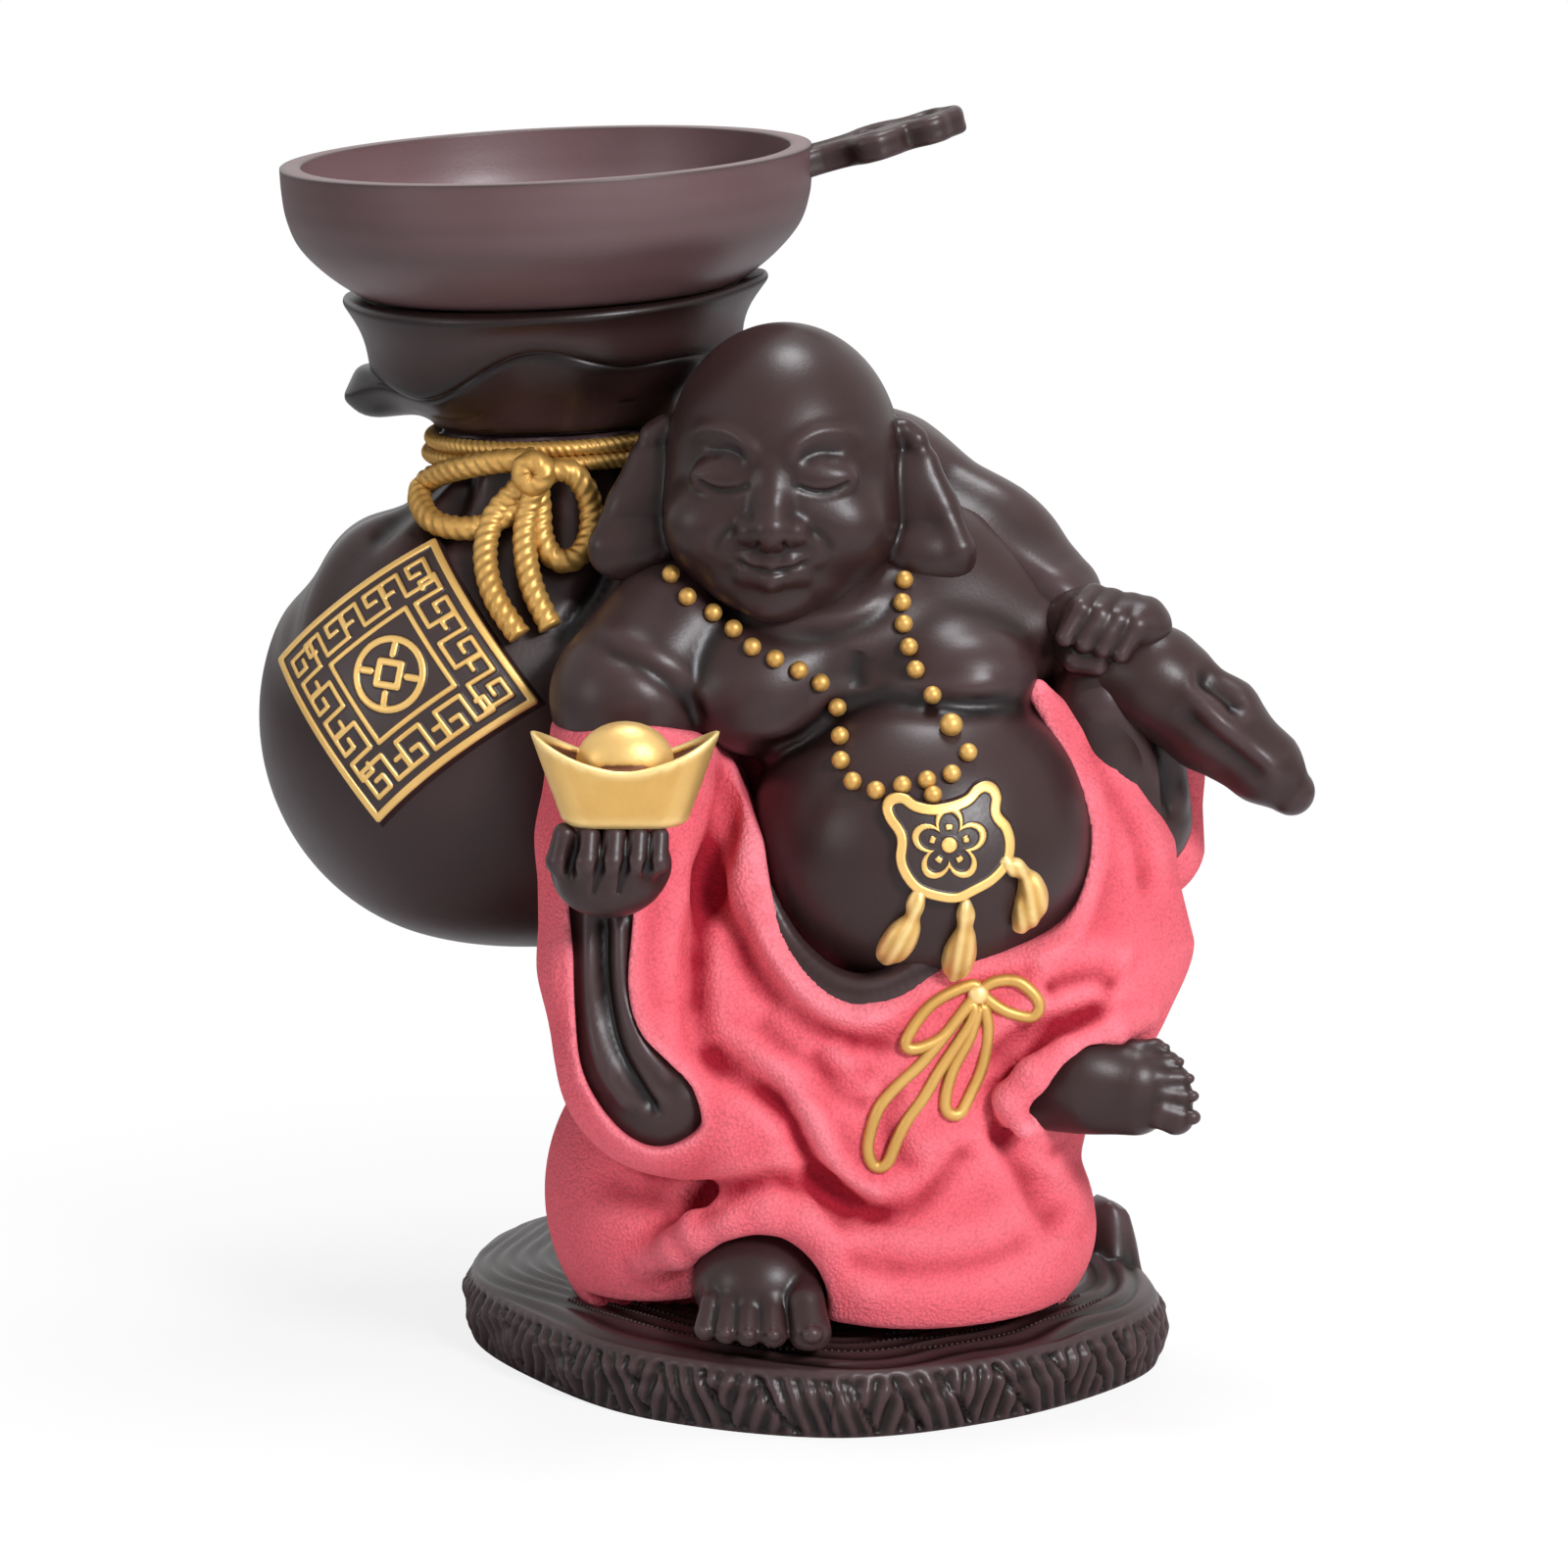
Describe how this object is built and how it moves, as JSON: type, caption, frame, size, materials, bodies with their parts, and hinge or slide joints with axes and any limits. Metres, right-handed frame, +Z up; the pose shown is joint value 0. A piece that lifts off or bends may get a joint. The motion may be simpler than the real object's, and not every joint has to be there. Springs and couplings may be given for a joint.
{
  "type": "laughing buddha figurine",
  "caption": "Fired-clay figurine of a laughing buddha who carries a sack on his shoulder; a strainer bowl with a carved handle lifts out of the sack's open mouth.",
  "frame": {"origin": "on the base's flat underside, under the middle of the figure", "axes": "+Z up, the figure faces -Y, +X to the viewer's right"},
  "size_m": [0.1501, 0.1077, 0.1775],
  "materials": {
    "clay": "unglazed dark brown clay, satin from handling",
    "bowl_clay": "unglazed brown clay, turned smooth",
    "red_sand": "matte coral red with a sandy grain",
    "gold_paint": "gold paint over clay",
    "steel": "fine woven gauze in a pressed ring"
  },
  "bodies": {
    "figure": {"stump_base": "clay", "standing_foot": "clay", "lifted_foot": "clay", "robe": "red_sand", "torso": "clay", "head": "clay", "wide_sleeve": "red_sand", "sleeve_lining": "clay", "open_hand": "clay", "gold_ingot": "gold_paint", "gripping_hand": "clay", "inner_sleeve": "clay", "back_sleeve": "red_sand", "sack_tail": "clay", "shoulder_strap": "clay", "sack_body": "clay", "sack_ruffle": "clay", "sack_cuff": "clay", "sack_rope": "gold_paint", "rope_bow": "gold_paint", "sack_plaque": "clay", "bead_necklace": "gold_paint", "pendant": "clay", "left_tassel": "gold_paint", "middle_tassel": "gold_paint", "right_tassel": "gold_paint", "sash_bow": "gold_paint"},
    "strainer": {"strainer_bowl": "bowl_clay", "strainer_handle": "bowl_clay", "gauze_ring": "steel", "gauze": "steel"}
  },
  "joints": [
    {"name": "strainer_lift", "type": "slide", "parent": "figure", "child": "strainer", "axis": [-0.045, 0, 0.999], "range_m": [0, 0.06]}
  ]
}
